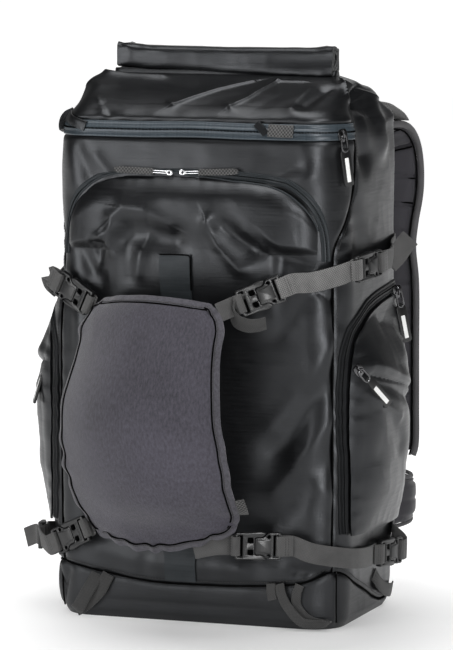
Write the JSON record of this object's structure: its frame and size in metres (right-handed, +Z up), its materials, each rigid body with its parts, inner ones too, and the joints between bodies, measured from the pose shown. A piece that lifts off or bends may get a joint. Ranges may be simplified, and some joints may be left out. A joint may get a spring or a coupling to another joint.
{
  "type": "camera backpack",
  "caption": "Roll-top camera backpack with zipped panels, puffed pockets, a stretch gear holder buckled over its front, a padded back, shoulder straps and a hip belt.",
  "frame": {"origin": "on the ground under the middle of the base", "axes": "+Z up, -Y the front with the gear holder, +Y the harness side, +X to the right as the front is seen"},
  "size_m": [0.4022, 0.4551, 0.5762],
  "materials": {
    "coated_cloth": "near-black coated nylon, matte with a soft broad sheen and a faint crosswise weave",
    "base_cloth": "heavier coated nylon, matte charcoal",
    "zip_tape": "coated water-resistant zip tape, blue-black and half glossy",
    "webbing": "woven nylon webbing, warm dark grey",
    "stretch_cloth": "woven stretch cloth, purple-grey and matte",
    "plastic": "moulded acetal, satin black",
    "metal": "nickel-grey zip sliders",
    "padding": "dark spacer mesh over foam, matte"
  },
  "bodies": {
    "root": {"front_panel": "coated_cloth", "side_panel_right": "coated_cloth", "side_panel_left": "coated_cloth", "hood": "coated_cloth", "roll_top": "coated_cloth", "front_pocket": "coated_cloth", "side_pocket_right": "coated_cloth", "side_pocket_left": "coated_cloth", "base_panel": "base_cloth", "top_zip": "zip_tape", "front_pocket_zip": "zip_tape", "side_zip_right": "zip_tape", "side_zip_left": "zip_tape", "centre_strip": "zip_tape", "strap_upper_right": "webbing", "strap_lower_right": "webbing", "strap_end_lower_left": "webbing", "strap_end_upper_right": "webbing", "strap_end_lower_right": "webbing", "strap_upper_left": "webbing", "strap_lower_left": "webbing", "holder_tab_upper_left": "webbing", "holder_tab_upper_right": "webbing", "holder_tab_lower_left": "webbing", "holder_tab_lower_right": "webbing", "gear_loop_left": "webbing", "gear_loop_right": "webbing", "gear_loop_side": "webbing", "top_zip_tab": "webbing", "side_tab_left": "webbing", "holder_label": "webbing", "load_lifter_right": "webbing", "load_lifter_left": "webbing", "grab_handle": "webbing", "holder_panel": "stretch_cloth", "buckle_socket_upper_left": "plastic", "buckle_prong_upper_left": "plastic", "buckle_socket_upper_right": "plastic", "buckle_prong_upper_right": "plastic", "buckle_socket_lower_left": "plastic", "buckle_prong_lower_left": "plastic", "buckle_socket_lower_right": "plastic", "buckle_prong_lower_right": "plastic", "buckle_socket_side_upper": "plastic", "buckle_prong_side_upper": "plastic", "buckle_socket_side_lower": "plastic", "buckle_prong_side_lower": "plastic", "ladder_lock": "plastic", "top_zip_pull": "plastic", "side_zip_pull_right": "plastic", "side_pocket_pull_right": "plastic", "side_zip_pull_left": "plastic", "hip_belt_clasp": "plastic", "front_zip_pull_left": "metal", "front_zip_pull_right": "metal", "back_panel": "padding", "shoulder_strap_right": "padding", "shoulder_strap_left": "padding", "hip_belt": "padding"}
  },
  "joints": []
}
